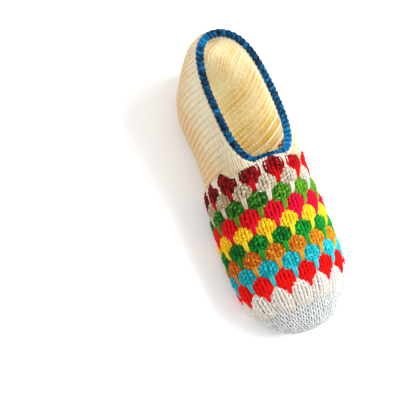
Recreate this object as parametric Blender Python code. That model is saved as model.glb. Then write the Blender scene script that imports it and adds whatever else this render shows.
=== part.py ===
"""Crocheted house slipper: toe cap, bobble vamp, heel part with its high collar, and the edging.

The slipper stands empty on its sole, toe toward +X, wearer's left toward +Y.
Every piece is cut from one surface, the skin of the last, so that the pieces stay in line.
"""

import math

import bpy
import numpy as np

MM = 0.001

# Driving sizes of the last, outside the wall
LENGTH = 240 * MM
BALL_HALF_WIDTH = 42 * MM
HEEL_HALF_WIDTH = 39.5 * MM
WAIST_HALF_WIDTH = 35.5 * MM
TOE_LENGTH = 61 * MM
HEEL_RADIUS = 60 * MM
HEEL_FOOT_RADIUS = 15 * MM
HEEL_LEVEL = 28 * MM
BALL_LEVEL = 22 * MM
TIP_HEIGHT = 19 * MM
THROAT_HEIGHT = 68 * MM
INSTEP_HEIGHT = 53 * MM
TOE_ROOT_HEIGHT = 48 * MM
SOLE_DEPTH = 0.8 * MM

# Where the pieces meet along the slipper, and the vamp's rounds between
THROAT_SHARE = 0.4833
TOE_CAP_LENGTH = 27 * MM
VAMP_BACK = LENGTH * THROAT_SHARE
VAMP_FRONT = LENGTH - TOE_CAP_LENGTH
ROUNDS = 10
BOBBLES_PER_ROUND = 13
ROUND_PITCH = (VAMP_FRONT - VAMP_BACK) / ROUNDS

# Collar
COLLAR_BACK_HEIGHT = 85 * MM
COLLAR_MIDDLE_HEIGHT = 75 * MM
COLLAR_HALF_WIDTH = 26.5 * MM
COLLAR_LAP = 2.5 * MM
COLLAR_FRONT = VAMP_BACK + COLLAR_LAP
COLLAR_LEAN = 16 * MM
COLLAR_SLUMP = 12 * MM
COLLAR_WIDEST_SHARE = 0.58
COLLAR_HEEL_POWER = 2.4
COLLAR_FRONT_POWER = 3.2

# Roundness of the curves: 2 is an ellipse, higher is squarer
SECTION_POWER = 2.9
TOE_POWER = 2.5
TOE_FLOOR_POWER = 3.6
HEEL_POWER = 1.8
HEEL_FLOOR_POWER = 2.0

# How the side wall runs in toward its upper edge
WALL_LEAN = math.radians(22)
SIDE_PULL = 0.55
EDGE_PULL = 0.35
LEAN_IN_POWER = 6
LEAN_FADE_POWER = 1.5

# Fabric
WALL = 3.0 * MM
SEAT = 0.3 * MM
EDGING_SEAT = 0.4 * MM
RIB_HEIGHT = 0.7 * MM
RIB_PITCH = 7.5 * MM
BOBBLE_HEIGHT = 2.6 * MM
CAP_LIFT = 0.8 * MM
HEAD_SHARE = 0.45
HEAD_POWER = 2.0
TAIL_POWER = 1.6
EDGING_RADIUS = 2.9 * MM
EDGING_LUMP = 0.35 * MM
EDGING_LUMP_PITCH = 7.0 * MM

# Mesh steps
COLUMNS_PER_BOBBLE = 4
STEPS_PER_ROUND = 4
CAP_STEPS = 12
HEEL_COLUMNS = 20
LINING_STEP = 9 * MM
EDGE_STEP = 1 * MM
SECTION_STEPS = 64
EDGING_SIDES = 8
PROBE = 0.05 * MM
SHARE_PROBE = 0.01
EDGE_PROBE = 0.03
CURVED_SHARE = 0.6
CURVED_EXTRA_STEPS = 3
SMOOTHING_PASSES = 8
RIM_REACH = 15 * MM

# Half widths of the last along it: place as a share of the length
WIDTHS = (
    # place, half width
    (0.000, HEEL_HALF_WIDTH * 0.98),
    (0.125, HEEL_HALF_WIDTH),
    (0.370, WAIST_HALF_WIDTH),
    (0.690, BALL_HALF_WIDTH),
    (1.000, BALL_HALF_WIDTH),
)
# Level of the widest line of the side
LEVELS = (
    # place, height
    (0.000, HEEL_LEVEL),
    (0.170, HEEL_LEVEL),
    (0.620, BALL_LEVEL),
    (1.000, TIP_HEIGHT),
)
# Ridge line of the top, from the throat forward
RIDGE = (
    # place, height
    (0.000, THROAT_HEIGHT * 1.10),
    (0.475, THROAT_HEIGHT),
    (0.690, INSTEP_HEIGHT),
    (0.850, TOE_ROOT_HEIGHT),
    (1.000, TOE_ROOT_HEIGHT * 0.88),
)
# Height of the collar's edge, from the back to its front
COLLAR_LINE = (
    # place, height
    (0.000, COLLAR_BACK_HEIGHT),
    (0.500, COLLAR_MIDDLE_HEIGHT),
    (1.000, THROAT_HEIGHT),
)

# Yarn colours, linear RGB
CREAM = (0.82, 0.72, 0.52)
WHITE = (0.90, 0.88, 0.84)
PETROL = (0.01, 0.09, 0.25)
ROUND_COLOURS = (
    (0.25, 0.01, 0.02),
    (0.62, 0.55, 0.45),
    (0.05, 0.30, 0.03),
    (0.70, 0.02, 0.05),
    (0.85, 0.60, 0.03),
    (0.05, 0.33, 0.05),
    (0.60, 0.20, 0.02),
    (0.05, 0.55, 0.60),
    (0.80, 0.03, 0.02),
    (0.85, 0.80, 0.74),
)


def smooth_row(table, place):
    """Value of a two-column table at a place, along a curve that never overshoots its rows."""
    xs = np.array([row[0] for row in table])
    ys = np.array([row[1] for row in table])
    steps = np.diff(xs)
    slopes = np.diff(ys) / steps
    tangents = np.zeros(len(xs))
    for i in range(1, len(xs) - 1):
        if slopes[i - 1] * slopes[i] > 0:
            tangents[i] = 2 * slopes[i - 1] * slopes[i] / (slopes[i - 1] + slopes[i])
    place = min(max(place, xs[0]), xs[-1])
    i = min(int(np.searchsorted(xs, place, side="right")) - 1, len(steps) - 1)
    q = (place - xs[i]) / steps[i]
    low = (1 + 2 * q) * (1 - q) ** 2 * ys[i] + q * (1 - q) ** 2 * steps[i] * tangents[i]
    high = q * q * (3 - 2 * q) * ys[i + 1] + q * q * (q - 1) * steps[i] * tangents[i + 1]
    return low + high


def dome(share, power):
    """Height of a superellipse quarter, from 1 at share 0 to 0 at share 1."""
    share = min(max(share, 0.0), 1.0)
    return max(1.0 - share**power, 0.0) ** (1.0 / power)


def collar_edge(x):
    """Half width and height of the collar's edge at x from the back."""
    share = min(max(x / COLLAR_FRONT, 0.0), 1.0)
    if share < COLLAR_WIDEST_SHARE:
        width = dome(1.0 - share / COLLAR_WIDEST_SHARE, COLLAR_HEEL_POWER)
    else:
        width = dome((share - COLLAR_WIDEST_SHARE) / (1.0 - COLLAR_WIDEST_SHARE), COLLAR_FRONT_POWER)
    return COLLAR_HALF_WIDTH * width, smooth_row(COLLAR_LINE, share)


def half_outline(x):
    """Left half of the last's section at x, from the bottom's centre to the ridge or the collar."""
    place = x / LENGTH
    width = smooth_row(WIDTHS, place)
    level = smooth_row(LEVELS, place)
    top = smooth_row(RIDGE, place)
    bottom = -SOLE_DEPTH
    toe = (x - (LENGTH - TOE_LENGTH)) / TOE_LENGTH
    if toe > 0:
        width *= dome(toe, TOE_POWER)
        top = TIP_HEIGHT + (top - TIP_HEIGHT) * dome(toe, TOE_POWER)
        level = TIP_HEIGHT + (level - TIP_HEIGHT) * dome(toe, TOE_POWER)
        bottom = TIP_HEIGHT - (TIP_HEIGHT + SOLE_DEPTH) * dome(toe, TOE_FLOOR_POWER)
    if x < HEEL_RADIUS:
        width *= dome(1 - x / HEEL_RADIUS, HEEL_POWER)
    if x < HEEL_FOOT_RADIUS:
        bottom += HEEL_FOOT_RADIUS * (1 - dome(1 - x / HEEL_FOOT_RADIUS, HEEL_FLOOR_POWER))
    angle = np.linspace(0, math.pi / 2, SECTION_STEPS // 2, endpoint=False)
    low_y = width * np.sin(angle) ** (2 / SECTION_POWER)
    low_z = level - (level - bottom) * np.cos(angle) ** (2 / SECTION_POWER)
    if x < COLLAR_FRONT:
        edge_y, edge_z = collar_edge(x)
        closing = (x / COLLAR_FRONT) ** LEAN_IN_POWER
        lean = WALL_LEAN + (math.pi / 2 - WALL_LEAN) * closing
        reach = EDGE_PULL * (edge_z - level) * (1 - closing) + SIDE_PULL * (width - edge_y) * closing
    else:
        edge_y, edge_z = 0.0, top
        lean = math.pi / 2
        reach = SIDE_PULL * width
    start = np.array([width, level])
    end = np.array([edge_y, edge_z])
    pull_up = start + np.array([0.0, SIDE_PULL * (edge_z - level)])
    pull_in = end + reach * np.array([math.sin(lean), -math.cos(lean)])
    q = np.linspace(0, 1, SECTION_STEPS // 2)[:, None]
    high = (1 - q) ** 3 * start + 3 * (1 - q) ** 2 * q * pull_up
    high = high + 3 * (1 - q) * q**2 * pull_in + q**3 * end
    y = np.concatenate([low_y, high[:, 0]])
    z = np.concatenate([low_z, high[:, 1]])
    fade = max(1 - x / COLLAR_FRONT, 0.0) ** LEAN_FADE_POWER
    rise = np.clip((z - HEEL_LEVEL) / (COLLAR_BACK_HEIGHT - HEEL_LEVEL), 0, 1)
    return np.stack([x + COLLAR_LEAN * fade * rise**LEAN_FADE_POWER, y, z], axis=1)


def half_points(x, shares):
    """Points at shares of the half outline's arc, with shares past its ends mirrored or run on."""
    line = half_outline(x)
    arc = np.concatenate([[0.0], np.cumsum(np.linalg.norm(np.diff(line, axis=0), axis=1))])
    arc = arc / arc[-1]
    shares = np.asarray(shares, dtype=float)
    folded = np.where(shares < 0, -shares, shares)
    past = folded > 1
    folded = np.where(past, 2 - folded, folded)
    points = np.stack([np.interp(folded, arc, line[:, k]) for k in range(3)], axis=1)
    points[shares < 0, 1] *= -1
    if x >= COLLAR_FRONT:
        points[past, 1] *= -1
    else:
        ends = line[-1]
        points[past] = 2 * ends - points[past]
    return points


def skin(x, shares):
    """Points and outward normals of the last's left half at x; rims between pieces stay in one plane."""
    shares = np.asarray(shares, dtype=float)
    here = half_points(x, shares)
    along = half_points(min(x + PROBE, LENGTH), shares) - half_points(max(x - PROBE, 0.0), shares)
    above = shares + SHARE_PROBE
    below = shares - SHARE_PROBE
    if x <= 0.0:
        above = np.minimum(above, 1.0)
        below = np.maximum(below, 0.0)
    around = half_points(x, above) - half_points(x, below)
    if x <= 0.0:
        along = np.array([0.0, 1.0, 0.0])
    normals = np.cross(around, along)
    normals = normals / np.linalg.norm(normals, axis=1)[:, None]
    from_rim = max(VAMP_BACK - x, x - VAMP_FRONT, 0.0)
    normals[:, 0] *= min(from_rim / RIM_REACH, 1.0)
    normals = normals / np.linalg.norm(normals, axis=1)[:, None]
    return here, normals


def bobble_height(x, turn):
    """Height of the clusters at x and at a turn (0 to 1) round the foot: round heads, pointed tails."""
    height = 0.0
    for index in range(ROUNDS):
        along = (x - VAMP_BACK) / ROUND_PITCH - index - HEAD_SHARE
        if along <= -HEAD_SHARE or along >= 1.0:
            continue
        across = (turn * BOBBLES_PER_ROUND + 0.5 * ((index + 1) % 2)) % 1.0
        across = abs(across - 0.5) * 2
        if along < 0:
            reach = dome(-along / HEAD_SHARE, HEAD_POWER)
            crown = reach
        else:
            reach = dome(along, TAIL_POWER)
            crown = 1 - along
        if reach > 0:
            height = max(height, crown * dome(across / reach, HEAD_POWER))
    return BOBBLE_HEIGHT * height


def rib_height(x):
    """Height of the heel part's ridges, one to each row, none at its ends."""
    rows = round(VAMP_BACK / RIB_PITCH)
    wave = 0.5 - 0.5 * math.cos(2 * math.pi * rows * x / VAMP_BACK)
    return RIB_HEIGHT * wave


def slump(points):
    """Leans the slack collar's back toward the wearer's right."""
    high = np.clip((points[:, 2] - HEEL_LEVEL) / (COLLAR_BACK_HEIGHT - HEEL_LEVEL), 0, 1)
    back = np.clip(1 - points[:, 0] / VAMP_BACK, 0, 1)
    points[:, 1] -= COLLAR_SLUMP * high * back
    return points


def press(points, floor):
    """Presses what would reach below a level flat onto it."""
    points[:, 2] = np.maximum(points[:, 2], floor)
    return points


def full_ring(x, columns, raised):
    """Outer ring of a closed section at x, raised by a function of the turn."""
    half = columns // 2
    turns = np.arange(columns) / columns
    shares = np.where(turns <= 0.5, turns * 2, (1 - turns) * 2)
    points, normals = skin(x, shares)
    mirrored = np.arange(columns) > half
    points[mirrored, 1] *= -1
    normals[mirrored, 1] *= -1
    heights = np.array([raised(x, turn) for turn in turns])
    return points + normals * heights[:, None]


def open_ring(x, columns, height):
    """Ring of the open section at x, from the right edge under the sole to the left edge."""
    shares = np.linspace(0, 1, columns // 2 + 1)
    points, normals = skin(x, shares)
    points = points + normals * height
    right = points[:0:-1] * np.array([1, -1, 1])
    return np.concatenate([right, points])


def join_object(name, verts, faces, colours, face_colours=None):
    """One named object from points and faces, with a Principled material for each colour."""
    mesh = bpy.data.meshes.new(name)
    mesh.from_pydata([tuple(v) for v in verts], [], faces)
    mesh.validate()
    for number, colour in enumerate(colours):
        material = bpy.data.materials.new(f"{name}_yarn_{number + 1}")
        material.use_nodes = True
        shader = material.node_tree.nodes["Principled BSDF"]
        shader.inputs["Base Color"].default_value = (*colour, 1)
        shader.inputs["Roughness"].default_value = 0.9
        shader.inputs["Metallic"].default_value = 0.0
        mesh.materials.append(material)
    if face_colours is not None:
        mesh.polygons.foreach_set("material_index", face_colours)
    mesh.shade_smooth()
    body = bpy.data.objects.new(name, mesh)
    bpy.context.collection.objects.link(body)
    return body


def quads_to_triangles(quads):
    """Each quad as two triangles."""
    triangles = []
    for a, b, c, d in quads:
        triangles.append((a, b, c))
        triangles.append((a, c, d))
    return triangles


def ring_bands(first, second, count):
    """Quads between two rings of points, facing out where the first ring lies behind."""
    bands = []
    for k in range(count):
        n = (k + 1) % count
        bands.append((first + k, first + n, second + n, second + k))
    return bands


def station_list(start, end, count):
    """Evenly spaced places from start to end."""
    return [start + (end - start) * k / count for k in range(count + 1)]


def build_vamp():
    """Tube of ten rounds of clusters, one hollow solid."""
    columns = BOBBLES_PER_ROUND * COLUMNS_PER_BOBBLE
    start = VAMP_BACK + SEAT / 2
    end = VAMP_FRONT - SEAT / 2
    outer_places = station_list(start, end, ROUNDS * STEPS_PER_ROUND)
    inner_places = station_list(start, end, round((end - start) / LINING_STEP))
    verts = []
    quads = []
    colours = []
    for x in outer_places:
        verts.extend(press(full_ring(x, columns, bobble_height), 0.0))
    for k in range(len(outer_places) - 1):
        quads.extend(ring_bands(k * columns, (k + 1) * columns, columns))
        colours.extend([k // STEPS_PER_ROUND] * columns * 2)
    base = len(verts)
    for x in inner_places:
        verts.extend(press(full_ring(x, columns, lambda place, turn: -WALL), WALL))
    for k in range(len(inner_places) - 1):
        bands = ring_bands(base + k * columns, base + (k + 1) * columns, columns)
        quads.extend([band[::-1] for band in bands])
    quads.extend(ring_bands(base, 0, columns))
    last_outer = (len(outer_places) - 1) * columns
    last_inner = base + (len(inner_places) - 1) * columns
    quads.extend(ring_bands(last_outer, last_inner, columns))
    faces = quads_to_triangles(quads)
    colours.extend([0] * (len(faces) - len(colours)))
    return join_object("bobble_vamp", verts, faces, ROUND_COLOURS, colours)


def cap_places(start, end, steps):
    """Places from start toward the tip, closer together where the cap curves in."""
    span = end - start
    return [start + span * math.sin(math.pi / 2 * k / steps) for k in range(steps)]


def build_cap():
    """Toe cap worked in rounds: a closed bowl."""
    columns = BOBBLES_PER_ROUND * COLUMNS_PER_BOBBLE
    start = VAMP_FRONT + SEAT / 2
    outer_places = cap_places(start, LENGTH, CAP_STEPS)
    inner_places = cap_places(start, LENGTH, CAP_STEPS // 2)
    verts = []
    quads = []
    faces = []
    for x in outer_places:
        verts.extend(press(full_ring(x, columns, lambda place, turn: CAP_LIFT), 0.0))
    for k in range(len(outer_places) - 1):
        quads.extend(ring_bands(k * columns, (k + 1) * columns, columns))
    verts.append((LENGTH + CAP_LIFT, 0.0, TIP_HEIGHT))
    tip = len(verts) - 1
    last = (len(outer_places) - 1) * columns
    for k in range(columns):
        faces.append((last + k, last + (k + 1) % columns, tip))
    base = len(verts)
    for x in inner_places:
        verts.extend(press(full_ring(x, columns, lambda place, turn: -WALL), WALL))
    for k in range(len(inner_places) - 1):
        bands = ring_bands(base + k * columns, base + (k + 1) * columns, columns)
        quads.extend([band[::-1] for band in bands])
    verts.append((LENGTH - WALL, 0.0, TIP_HEIGHT))
    inner_tip = len(verts) - 1
    last = base + (len(inner_places) - 1) * columns
    for k in range(columns):
        faces.append((last + (k + 1) % columns, last + k, inner_tip))
    quads.extend(ring_bands(base, 0, columns))
    faces.extend(quads_to_triangles(quads))
    return join_object("toe_cap", verts, faces, [WHITE])


def heel_rows(places, offset, floor, verts):
    """Rings of the heel part, whose first is the seam line of its back; returns rows of indices."""
    rows = []
    for number, x in enumerate(places):
        height = offset if offset < 0 else rib_height(x)
        ring = press(open_ring(x, 2 * HEEL_COLUMNS, height), floor)
        if number > 0:
            rows.append(list(range(len(verts), len(verts) + len(ring))))
            verts.extend(ring)
            continue
        middle = HEEL_COLUMNS
        ring[:, 1] = 0.0
        line = list(range(len(verts), len(verts) + middle + 1))
        verts.extend(ring[middle:])
        rows.append([line[abs(k - middle)] for k in range(2 * middle + 1)])
    return rows


def strip(first, second):
    """Quads between two rows of indices, as triangles without the empty ones."""
    triangles = []
    for k in range(len(first) - 1):
        a, b, c, d = first[k], second[k], second[k + 1], first[k + 1]
        for triangle in ((a, c, b), (a, d, c)):
            if len(set(triangle)) == 3:
                triangles.append(triangle)
    return triangles


def heel_places(end, step):
    """Places from the back seam forward, closer together where the heel curves in."""
    curved = HEEL_RADIUS * CURVED_SHARE
    count = round(curved / step) + CURVED_EXTRA_STEPS
    places = [curved * (1 - math.cos(math.pi / 2 * k / count)) for k in range(count)]
    return places + station_list(curved, end, round((end - curved) / step))


def zip_rim(verts, outer_line, inner_line):
    """Triangles between the outer and inner lines of a rim, whichever has more points."""
    faces = []
    i = 0
    j = 0
    while i < len(outer_line) - 1 or j < len(inner_line) - 1:
        step_outer = j == len(inner_line) - 1
        if i < len(outer_line) - 1 and j < len(inner_line) - 1:
            far_outer = np.linalg.norm(np.subtract(verts[outer_line[i + 1]], verts[inner_line[j]]))
            far_inner = np.linalg.norm(np.subtract(verts[inner_line[j + 1]], verts[outer_line[i]]))
            step_outer = far_outer <= far_inner
        if step_outer:
            faces.append((outer_line[i], outer_line[i + 1], inner_line[j]))
            i += 1
        else:
            faces.append((outer_line[i], inner_line[j + 1], inner_line[j]))
            j += 1
    return faces


def build_heel_part():
    """Sides, rear sole and high back, worked to and fro in rows: an open shell."""
    end = VAMP_BACK - SEAT / 2
    outer_places = heel_places(end, RIB_PITCH / 2)
    inner_places = heel_places(end, LINING_STEP)
    verts = []
    outer = heel_rows(outer_places, 0.0, 0.0, verts)
    inner = heel_rows(inner_places, -WALL, WALL, verts)
    faces = []
    for first, second in zip(outer[:-1], outer[1:]):
        faces.extend(strip(first, second))
    for first, second in zip(inner[:-1], inner[1:]):
        faces.extend([face[::-1] for face in strip(first, second)])
    faces.extend(strip(outer[-1], inner[-1]))
    left_rim = zip_rim(verts, [row[-1] for row in outer], [row[-1] for row in inner])
    right_rim = zip_rim(verts, [row[0] for row in outer], [row[0] for row in inner])
    faces.extend([face[::-1] for face in left_rim])
    faces.extend(right_rim)
    return join_object("heel_part", slump(np.array(verts)), faces, [CREAM])


def edging_centre():
    """Centre line of the edging: a closed line just past the edge of the opening."""
    off = EDGING_RADIUS + EDGING_LUMP + EDGING_SEAT
    edge = []
    outward = []
    rise = []
    for x in heel_places(VAMP_BACK, EDGE_STEP):
        points, normals = skin(x, [1.0 - EDGE_PROBE, 1.0])
        edge.append(points[1])
        outward.append(normals[1])
        rise.append(points[1] - points[0])
    edge = np.array(edge)
    outward = np.array(outward)
    along = np.gradient(edge, axis=0)
    along[0] = (0.0, 1.0, 0.0)
    past = np.cross(outward, along)
    past = past / np.linalg.norm(past, axis=1)[:, None]
    past = past * np.sign((past * np.array(rise)).sum(axis=1))[:, None]
    side = edge - outward * WALL / 2 + past * off
    front = []
    line = half_outline(COLLAR_FRONT)[SECTION_STEPS // 2 :]
    for y in station_list(edge[-1][1], 0.0, 4)[1:]:
        z = float(np.interp(-y, -line[:, 1], line[:, 2]))
        front.append(np.array([VAMP_BACK - off, y, z - WALL / 2]))
    left = [point for point in side if point[0] < VAMP_BACK - off] + front
    right = [point * np.array([1, -1, 1]) for point in left[1:-1]]
    return np.array(left + right[::-1])


def even_loop(points, count):
    """A closed line as evenly spaced points."""
    closed = np.concatenate([points, points[:1]])
    arc = np.concatenate([[0.0], np.cumsum(np.linalg.norm(np.diff(closed, axis=0), axis=1))])
    marks = np.linspace(0, arc[-1], count, endpoint=False)
    return np.stack([np.interp(marks, arc, closed[:, k]) for k in range(3)], axis=1), arc[-1]


def build_edging():
    """The edging: a lumpy cord round the whole opening."""
    centre, length = even_loop(edging_centre(), SECTION_STEPS * 4)
    for _ in range(SMOOTHING_PASSES):
        centre = (np.roll(centre, 1, axis=0) + 2 * centre + np.roll(centre, -1, axis=0)) / 4
    lumps = round(length / EDGING_LUMP_PITCH)
    count = 2 * lumps
    centre, length = even_loop(centre, count)
    tangent = np.roll(centre, -1, axis=0) - np.roll(centre, 1, axis=0)
    tangent = tangent / np.linalg.norm(tangent, axis=1)[:, None]
    middle = centre.mean(axis=0)
    verts = []
    quads = []
    for k in range(count):
        outward = centre[k] - middle
        outward = outward - tangent[k] * outward.dot(tangent[k])
        outward[2] = 0.0
        outward = outward - tangent[k] * outward.dot(tangent[k])
        outward = outward / np.linalg.norm(outward)
        upward = np.cross(tangent[k], outward)
        radius = EDGING_RADIUS + EDGING_LUMP * (1 if k % 2 == 0 else -1)
        for side in range(EDGING_SIDES):
            angle = 2 * math.pi * (side + 0.5) / EDGING_SIDES
            verts.append(centre[k] + radius * (math.cos(angle) * outward + math.sin(angle) * upward))
    for k in range(count):
        n = (k + 1) % count
        quads.extend(ring_bands(k * EDGING_SIDES, n * EDGING_SIDES, EDGING_SIDES))
    verts = slump(np.array(verts))
    return join_object("collar_edging", verts, quads_to_triangles(quads), [PETROL])


def centre_along(bodies):
    """Moves the pieces so that the middle of the slipper's length is at X = 0."""
    low = min(min(v.co.x for v in body.data.vertices) for body in bodies)
    high = max(max(v.co.x for v in body.data.vertices) for body in bodies)
    for body in bodies:
        body.location.x = -(low + high) / 2


def main():
    for old in list(bpy.data.objects):
        bpy.data.objects.remove(old, do_unlink=True)
    bodies = [build_cap(), build_vamp(), build_heel_part(), build_edging()]
    centre_along(bodies)


main()
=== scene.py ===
"""Crocheted house slipper: every stitch, cluster and strand of yarn, laid on the skin of the last."""

import math
from collections import namedtuple

import bpy
import numpy as np
from mathutils import Matrix, Vector


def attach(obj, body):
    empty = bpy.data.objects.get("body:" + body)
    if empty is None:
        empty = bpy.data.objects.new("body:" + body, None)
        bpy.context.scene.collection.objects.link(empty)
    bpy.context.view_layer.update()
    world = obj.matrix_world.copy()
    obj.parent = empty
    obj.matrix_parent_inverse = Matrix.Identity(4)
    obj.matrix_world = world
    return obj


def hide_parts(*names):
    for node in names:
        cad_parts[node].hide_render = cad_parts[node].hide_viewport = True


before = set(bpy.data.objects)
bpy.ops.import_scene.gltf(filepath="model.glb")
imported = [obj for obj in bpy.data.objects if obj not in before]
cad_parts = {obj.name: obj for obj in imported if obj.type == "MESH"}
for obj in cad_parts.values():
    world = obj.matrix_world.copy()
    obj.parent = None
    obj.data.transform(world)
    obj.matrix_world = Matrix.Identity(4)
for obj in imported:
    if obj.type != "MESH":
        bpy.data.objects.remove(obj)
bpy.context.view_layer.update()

MM = 0.001
TINY = 1e-15
RNG = np.random.default_rng(7)

# The last, outside the wall
LENGTH = 240 * MM
BALL_HALF_WIDTH = 42 * MM
HEEL_HALF_WIDTH = 39.5 * MM
WAIST_HALF_WIDTH = 35.5 * MM
TOE_LENGTH = 61 * MM
HEEL_RADIUS = 60 * MM
HEEL_FOOT_RADIUS = 15 * MM
HEEL_LEVEL = 28 * MM
BALL_LEVEL = 22 * MM
TIP_HEIGHT = 19 * MM
THROAT_HEIGHT = 68 * MM
INSTEP_HEIGHT = 53 * MM
TOE_ROOT_HEIGHT = 48 * MM
SOLE_DEPTH = 0.8 * MM

# Where the pieces meet along the slipper, and the vamp's rounds between
THROAT_SHARE = 0.4833
TOE_CAP_LENGTH = 27 * MM
VAMP_BACK = LENGTH * THROAT_SHARE
VAMP_FRONT = LENGTH - TOE_CAP_LENGTH
ROUNDS = 10
BOBBLES_PER_ROUND = 13
ROUND_PITCH = (VAMP_FRONT - VAMP_BACK) / ROUNDS
BOBBLE_PITCH = 2 / BOBBLES_PER_ROUND

# Collar
COLLAR_BACK_HEIGHT = 85 * MM
COLLAR_MIDDLE_HEIGHT = 75 * MM
COLLAR_HALF_WIDTH = 26.5 * MM
COLLAR_LAP = 2.5 * MM
COLLAR_FRONT = VAMP_BACK + COLLAR_LAP
COLLAR_LEAN = 16 * MM
COLLAR_SLUMP = 12 * MM
COLLAR_WIDEST_SHARE = 0.58
COLLAR_HEEL_POWER = 2.4
COLLAR_FRONT_POWER = 3.2

# Roundness of the curves: 2 is an ellipse, higher is squarer
SECTION_POWER = 2.9
TOE_POWER = 2.5
TOE_FLOOR_POWER = 3.6
HEEL_POWER = 1.8
HEEL_FLOOR_POWER = 2.0

# How the side wall runs in toward its upper edge
WALL_LEAN = math.radians(22)
SIDE_PULL = 0.55
EDGE_PULL = 0.35
LEAN_IN_POWER = 6
LEAN_FADE_POWER = 1.5

# Fabric
WALL = 3.0 * MM
CAP_LIFT = 0.8 * MM
BOBBLE_HEIGHT = 2.6 * MM
EDGING_RADIUS = 2.9 * MM
EDGING_SEAT = -0.5 * MM
YARN = 1.05 * MM
RIM_SHARE = 0.995
MIDDLE = (LENGTH + CAP_LIFT) / 2

# Steps of the skin's own grid, and points on the lower and on the upper curve of a section
GRID_STATIONS = 260
GRID_SHARES = 121
CURVE_POINTS = 80

WIDTHS = (
    # place, half width
    (0.000, HEEL_HALF_WIDTH * 0.98),
    (0.125, HEEL_HALF_WIDTH),
    (0.370, WAIST_HALF_WIDTH),
    (0.690, BALL_HALF_WIDTH),
    (1.000, BALL_HALF_WIDTH),
)
LEVELS = (
    # place, height
    (0.000, HEEL_LEVEL),
    (0.170, HEEL_LEVEL),
    (0.620, BALL_LEVEL),
    (1.000, TIP_HEIGHT),
)
RIDGE = (
    # place, height
    (0.000, THROAT_HEIGHT * 1.10),
    (0.475, THROAT_HEIGHT),
    (0.690, INSTEP_HEIGHT),
    (0.850, TOE_ROOT_HEIGHT),
    (1.000, TOE_ROOT_HEIGHT * 0.88),
)
COLLAR_LINE = (
    # place, height
    (0.000, COLLAR_BACK_HEIGHT),
    (0.500, COLLAR_MIDDLE_HEIGHT),
    (1.000, THROAT_HEIGHT),
)

# The rounds of clusters, from the throat to the toe: yarn in shade, yarn in light
ROUND_YARNS = (
    # name, shape, dark, light
    ("burgundy", "leaf", (0.060, 0.000, 0.002), (0.900, 0.000, 0.001)),
    ("beige", "puff", (0.360, 0.250, 0.130), (0.900, 0.850, 0.760)),
    ("leaf_green", "puff", (0.004, 0.070, 0.006), (0.160, 0.480, 0.020)),
    ("crimson", "drop", (0.620, 0.000, 0.001), (0.880, 0.001, 0.075)),
    ("yellow", "puff", (0.760, 0.400, 0.002), (0.960, 0.830, 0.030)),
    ("green", "puff", (0.002, 0.070, 0.008), (0.005, 0.480, 0.040)),
    ("orange", "puff", (0.420, 0.070, 0.002), (0.900, 0.420, 0.015)),
    ("turquoise", "puff", (0.002, 0.260, 0.300), (0.030, 0.780, 0.900)),
    ("red", "drop", (0.720, 0.000, 0.000), (0.980, 0.004, 0.002)),
    ("white", "arch", (0.660, 0.600, 0.520), (0.930, 0.925, 0.910)),
)

# The plain yarns, each in shade and in light, and the walls seen in the depth between their strands, in
# painted shade
WHITE_DARK = (0.48, 0.42, 0.36)
WHITE_LIGHT = (0.82, 0.92, 0.96)
CREAM_DARK = (0.75, 0.51, 0.24)
CREAM_LIGHT = (0.86, 0.79, 0.58)
LINING_DARK = (0.80, 0.54, 0.10)
LINING_LIGHT = (0.97, 0.93, 0.64)
EYELET_DARK = (0.90, 0.80, 0.50)
EYELET_LIGHT = (1.00, 0.99, 0.93)
TEETH_DARK = (0.66, 0.50, 0.30)
TEETH_LIGHT = (0.93, 0.92, 0.90)
BLUE_DARK = (0.0003, 0.003, 0.012)
BLUE_LIGHT = (0.002, 0.270, 0.640)
WHITE_GROUND_PAINTED_SHADE = ((0.24, 0.15, 0.09), (0.46, 0.36, 0.28))
CREAM_GROUND_PAINTED_SHADE = ((0.60, 0.42, 0.20), (0.80, 0.62, 0.36))
ROUNDS_GROUND_PAINTED_SHADE = ((0.02, 0.02, 0.02), (0.05, 0.05, 0.05))
GROUND_SHADE = 0.55

# Yarn's surface: the sheen of loose and of firm yarn, drift of colour, fibres, and the twist of its plies
ROUGHNESS = 0.82
SHEEN = 0.35
FIRM_SHEEN = 0.04
SHEEN_ROUGHNESS = 0.5
SPECULAR = 0.12
DRIFT_SCALE = 260
DRIFT_DETAIL = 4
TONES = (0.35, 1.55)
FIBRE_SCALE = 1500
FIBRE_DETAIL = 3
FIBRE_STRENGTH = 0.45
FIBRE_DEPTH = 0.15 * MM
PLIES = 3
PLY_TURN = 3.4 * MM
PLY_STRENGTH = 0.7
PLY_DEPTH = 0.22 * MM

# Outline of a cluster, in rounds along it and in cluster pitches across it; where its posts' arch starts, how
# much its wraps differ in tone, and whether a stem runs from it
Shape = namedtuple("Shape", "back back_power middle front front_power width arch_start spread stem")
SHAPES = {
    "leaf": Shape(-0.95, 1.35, 0.10, 1.25, 1.45, 0.42, 0.0, 0.12, True),
    "crest": Shape(-0.56, 4.00, 0.10, 1.25, 1.45, 0.44, 0.3, 0.12, True),
    "puff": Shape(-0.70, 2.00, 0.02, 0.92, 1.90, 0.41, 0.0, 0.27, True),
    "drop": Shape(-0.78, 1.90, -0.02, 1.18, 1.60, 0.45, 0.0, 0.27, True),
    "arch": Shape(-0.72, 1.70, 0.30, 1.60, 3.00, 0.46, 0.0, 0.27, False),
}

# Clusters that meet the throat: the share of the section past which one does, how far short of the rim its
# strands are held on the skin, and how they rise from there
TOP_SHARE = 0.72
THROAT_HOLD = 1.6 * MM
THROAT_SLOPE = 0.15

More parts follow.
